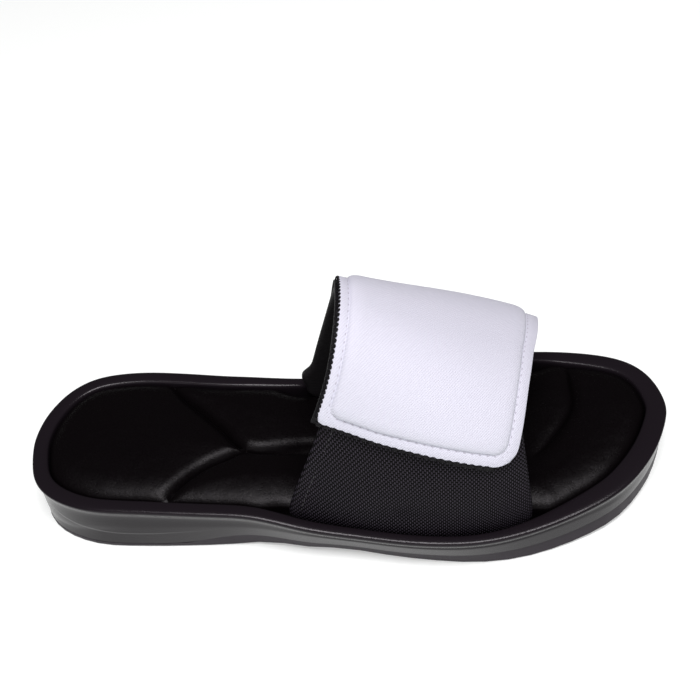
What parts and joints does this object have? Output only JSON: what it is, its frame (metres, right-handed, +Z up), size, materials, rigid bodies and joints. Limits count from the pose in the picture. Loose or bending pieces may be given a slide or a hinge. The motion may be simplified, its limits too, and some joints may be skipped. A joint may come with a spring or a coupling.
{
  "type": "sport slide sandal",
  "caption": "Open-toe sport slide with a rimmed moulded sole, a pillowed footbed, a woven band over the instep and a padded cover flap held on it by a hook sheet.",
  "frame": {"origin": "on the floor under the centre of the sole's outline", "axes": "+X from heel to toe, +Y to the medial side, +Z up"},
  "size_m": [0.2752, 0.1033, 0.1107],
  "materials": {
    "outsole_rubber": "moulded, satin",
    "midsole_foam": "moulded foam skin, satin",
    "footbed_fabric": "smooth satin knit over foam pads",
    "band_webbing": "coarse plain weave, matte",
    "hook_tape": "hook and loop pile",
    "cover_fabric": "fine twill, near white"
  },
  "bodies": {
    "root": {"outsole": "outsole_rubber", "midsole": "midsole_foam", "footbed": "footbed_fabric", "strap_band": "band_webbing", "hook_sheet": "hook_tape", "cover_flap": "cover_fabric"}
  },
  "joints": []
}
